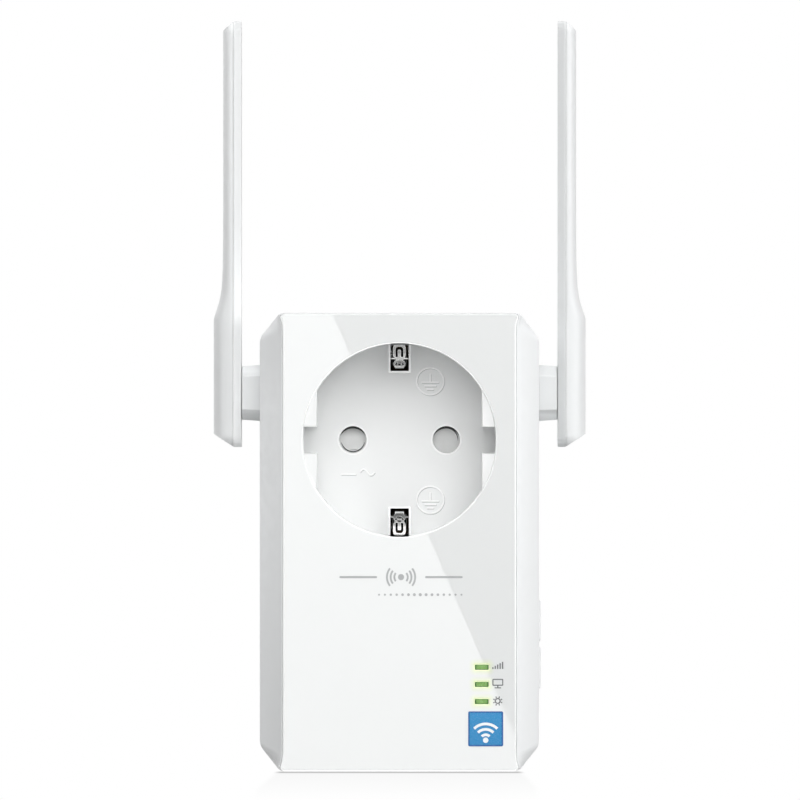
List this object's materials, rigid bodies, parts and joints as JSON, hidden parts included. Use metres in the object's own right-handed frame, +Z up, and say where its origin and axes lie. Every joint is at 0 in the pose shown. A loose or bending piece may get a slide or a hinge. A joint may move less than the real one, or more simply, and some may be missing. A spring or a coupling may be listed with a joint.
{
  "type": "wifi range extender",
  "caption": "Plug-in wireless range extender: tall flat body with slanted side facets, recessed pass-through mains outlet, status lights, side buttons and swivelling side antennas.",
  "frame": {"origin": "centre of the wall plug's end face, midway between its two pins", "axes": "+X to the right seen from the front, +Y into the wall along the plug pins, +Z up; the front of the body faces -Y"},
  "size_m": [0.0758, 0.0768, 0.1524],
  "materials": {
    "gloss_white": "high-gloss moulded ABS, near-white",
    "satin_white": "fine satin moulded ABS, near-white",
    "socket_white": "smooth semi-gloss moulded thermoset, near-white",
    "inner_white": "plain moulded plastic, off-white",
    "nickel": "bright nickel plate",
    "steel": "plain steel",
    "brass": "rolled brass strip",
    "gold_contacts": "gold-flashed contact strip",
    "copper": "copper antenna foil on a carrier",
    "circuit_board": "green solder-masked glass-fibre board",
    "black_plastic": "black moulded plastic",
    "dark_plastic": "dark grey moulded plastic",
    "clear_glass": "fuse tube",
    "light_green": "translucent light pipe, lit green",
    "badge_blue": null,
    "print_grey": "pad-printed grey symbols",
    "cable_black": "thin coaxial cable jacket",
    "wire_brown": "insulated wire, brown",
    "wire_blue": "insulated wire, blue"
  },
  "bodies": {
    "housing": {"front_panel": "gloss_white", "front_housing": "satin_white", "rear_housing": "satin_white", "socket_insert": "socket_white", "shutter_spring": "steel", "terminal_block": "dark_plastic", "socket_terminal_live": "brass", "socket_terminal_neutral": "brass", "earth_strap": "brass", "plug_body": "satin_white", "plug_pin_live": "nickel", "plug_pin_neutral": "nickel", "plug_earth_contact_top": "nickel", "plug_earth_contact_bottom": "nickel", "plug_earth_sleeve": "nickel", "power_board": "circuit_board", "transformer": "black_plastic", "input_capacitor": "black_plastic", "output_capacitor": "black_plastic", "fuse": "clear_glass", "logic_board": "circuit_board", "shield_can": "steel", "radio_chip": "black_plastic", "network_jack": "dark_plastic", "jack_contacts": "gold_contacts", "led_signal": "light_green", "led_network": "light_green", "led_power": "light_green", "light_pipe_signal": "light_green", "light_pipe_network": "light_green", "light_pipe_power": "light_green", "power_switch": "black_plastic", "extender_switch": "black_plastic", "reset_switch": "black_plastic", "knuckle_left": "satin_white", "knuckle_right": "satin_white", "coax_left": "cable_black", "coax_right": "cable_black", "wire_live": "wire_brown", "wire_neutral": "wire_blue", "housing_screw_1": "steel", "housing_screw_2": "steel", "housing_screw_3": "steel", "housing_screw_4": "steel"},
    "antenna_left": {"antenna_left_outer_shell": "satin_white", "antenna_left_inner_cover": "satin_white", "antenna_left_element": "copper", "antenna_left_shaft": "inner_white", "antenna_left_retaining_ring": "steel"},
    "antenna_right": {"antenna_right_outer_shell": "satin_white", "antenna_right_inner_cover": "satin_white", "antenna_right_element": "copper", "antenna_right_shaft": "inner_white", "antenna_right_retaining_ring": "steel"},
    "power_button": {"power_button": "satin_white"},
    "extender_button": {"extender_button": "satin_white"},
    "reset_button": {"reset_button": "inner_white"},
    "shutter": {"shutter_rotor": "inner_white"},
    "earth_clip_top": {"earth_clip_top": "nickel"},
    "earth_clip_bottom": {"earth_clip_bottom": "nickel"}
  },
  "joints": [
    {"name": "antenna_left_swivel", "type": "hinge", "parent": "housing", "child": "antenna_left", "pos_m": [-0.03, -0.036, 0.0095], "axis": [1, 0, 0], "range_deg": [0, 180]},
    {"name": "antenna_right_swivel", "type": "hinge", "parent": "housing", "child": "antenna_right", "pos_m": [0.03, -0.036, 0.0095], "axis": [1, 0, 0], "range_deg": [0, 180]},
    {"name": "power_button_press", "type": "slide", "parent": "housing", "child": "power_button", "axis": [-1, 0, 0], "range_m": [0, 0.0012]},
    {"name": "extender_button_press", "type": "slide", "parent": "housing", "child": "extender_button", "axis": [-1, 0, 0], "range_m": [0, 0.0005]},
    {"name": "reset_button_press", "type": "slide", "parent": "housing", "child": "reset_button", "axis": [-1, 0, 0], "range_m": [0, 0.0003]},
    {"name": "shutter_turn", "type": "hinge", "parent": "housing", "child": "shutter", "pos_m": [0, -0.0372, 0], "axis": [0, 1, 0], "range_deg": [0, 45]},
    {"name": "earth_clip_top_flex", "type": "hinge", "parent": "housing", "child": "earth_clip_top", "pos_m": [0, -0.037, 0.01825], "axis": [-1, 0, 0], "range_deg": [0, 4]},
    {"name": "earth_clip_bottom_flex", "type": "hinge", "parent": "housing", "child": "earth_clip_bottom", "pos_m": [0, -0.037, -0.01825], "axis": [1, 0, 0], "range_deg": [0, 4]}
  ]
}
